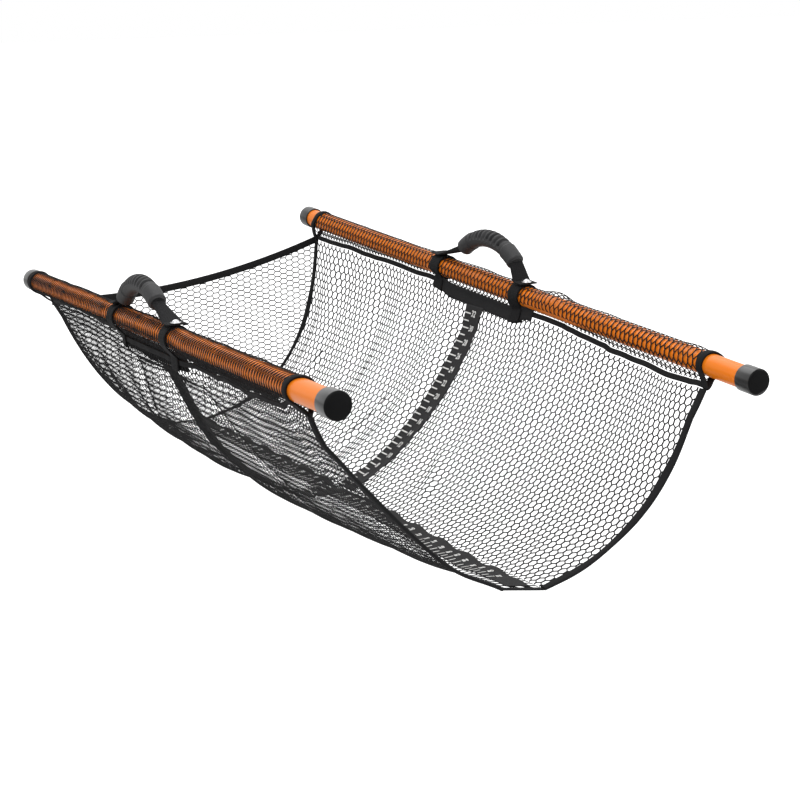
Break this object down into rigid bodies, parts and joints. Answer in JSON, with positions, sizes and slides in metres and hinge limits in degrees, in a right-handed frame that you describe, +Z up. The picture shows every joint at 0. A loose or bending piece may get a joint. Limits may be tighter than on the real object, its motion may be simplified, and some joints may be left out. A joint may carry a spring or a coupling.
{
  "type": "carp cradle",
  "caption": "Floating fish cradle: a net trough hung between capped poles in net sleeves, closed by a net wall at one end, with measuring tapes and a webbing handle on each pole.",
  "frame": {"origin": "centre of the object's overall box at its lowest face, the underside of the floor net", "axes": "+Y along the poles towards the closed end, +X towards the right-hand pole seen from the open end, +Z up"},
  "size_m": [0.5234, 1.0862, 0.3234],
  "materials": {
    "orange_tube": "smooth orange coating on aluminium tube",
    "cap_rubber": "smooth black rubber with a soft sheen",
    "float_foam": "closed-cell foam rod, about as light as the soft goods",
    "black_netting": "knotless hexagonal netting",
    "binding_tape": "woven tape folded over the edge",
    "patch_fabric": "coated woven fabric",
    "black_webbing": "ribbed nylon webbing",
    "measuring_tape": "charcoal woven tape with white ticks and numbers",
    "grip_rubber": "matt dark grey moulding with grooves",
    "bright_steel": "polished steel"
  },
  "bodies": {
    "keel": {"binding_front_floor": "binding_tape", "binding_rear_floor": "binding_tape", "end_band_left": "binding_tape", "end_band_right": "binding_tape", "net_end_left": "black_netting", "net_end_right": "black_netting", "net_floor": "black_netting", "ruler_cross_middle": "measuring_tape", "ruler_length": "measuring_tape"},
    "left_side": {"binding_front_left": "binding_tape", "binding_rear_left": "binding_tape", "net_side_left": "black_netting", "patch_left": "patch_fabric", "ruler_cross_left": "measuring_tape", "seam_tape_left": "binding_tape", "sleeve_band_left_front": "binding_tape", "sleeve_band_left_rear": "binding_tape", "sleeve_left": "black_netting", "strap_loop_left_front": "black_webbing", "strap_loop_left_rear": "black_webbing"},
    "left_pole": {"float_core_left": "float_foam", "pole_cap_left_front": "cap_rubber", "pole_cap_left_rear": "cap_rubber", "pole_tube_left": "orange_tube"},
    "left_handle": {"handle_grip_left": "grip_rubber", "handle_strap_left": "black_webbing", "rivet_left": "bright_steel", "rivet_washer_left": "bright_steel"},
    "right_side": {"binding_front_right": "binding_tape", "binding_rear_right": "binding_tape", "net_side_right": "black_netting", "patch_right": "patch_fabric", "ruler_cross_right": "measuring_tape", "seam_tape_right": "binding_tape", "sleeve_band_right_front": "binding_tape", "sleeve_band_right_rear": "binding_tape", "sleeve_right": "black_netting", "strap_loop_right_front": "black_webbing", "strap_loop_right_rear": "black_webbing"},
    "right_pole": {"float_core_right": "float_foam", "pole_cap_right_front": "cap_rubber", "pole_cap_right_rear": "cap_rubber", "pole_tube_right": "orange_tube"},
    "right_handle": {"handle_grip_right": "grip_rubber", "handle_strap_right": "black_webbing", "rivet_right": "bright_steel", "rivet_washer_right": "bright_steel"}
  },
  "joints": [
    {"name": "left_fold", "type": "hinge", "parent": "keel", "child": "left_side", "pos_m": [-0.0255, 0, 0.00075], "axis": [0, 1, 0], "range_deg": [0, 41], "deforming": ["net_end_left", "end_band_left"]},
    {"name": "left_pole_slide", "type": "slide", "parent": "left_side", "child": "left_pole", "axis": [0.026, 0.9995, -0.0193], "range_m": [-0.0068, 0.051]},
    {"name": "left_handle_swing", "type": "hinge", "parent": "left_side", "child": "left_handle", "pos_m": [-0.23195, 0.02599, 0.24], "axis": [-0.026, -0.9995, 0.0193], "range_deg": [-90, 90]},
    {"name": "right_fold", "type": "hinge", "parent": "keel", "child": "right_side", "pos_m": [0.0255, 0, 0.00075], "axis": [0, -1, 0], "range_deg": [0, 33], "deforming": ["net_end_right", "end_band_right"]},
    {"name": "right_pole_slide", "type": "slide", "parent": "right_side", "child": "right_pole", "axis": [-0.026, 0.9974, 0.0672], "range_m": [-0.0068, 0.051]},
    {"name": "right_handle_swing", "type": "hinge", "parent": "right_side", "child": "right_handle", "pos_m": [0.23195, 0.02593, 0.25525], "axis": [-0.026, 0.9974, 0.0672], "range_deg": [-90, 90]}
  ]
}
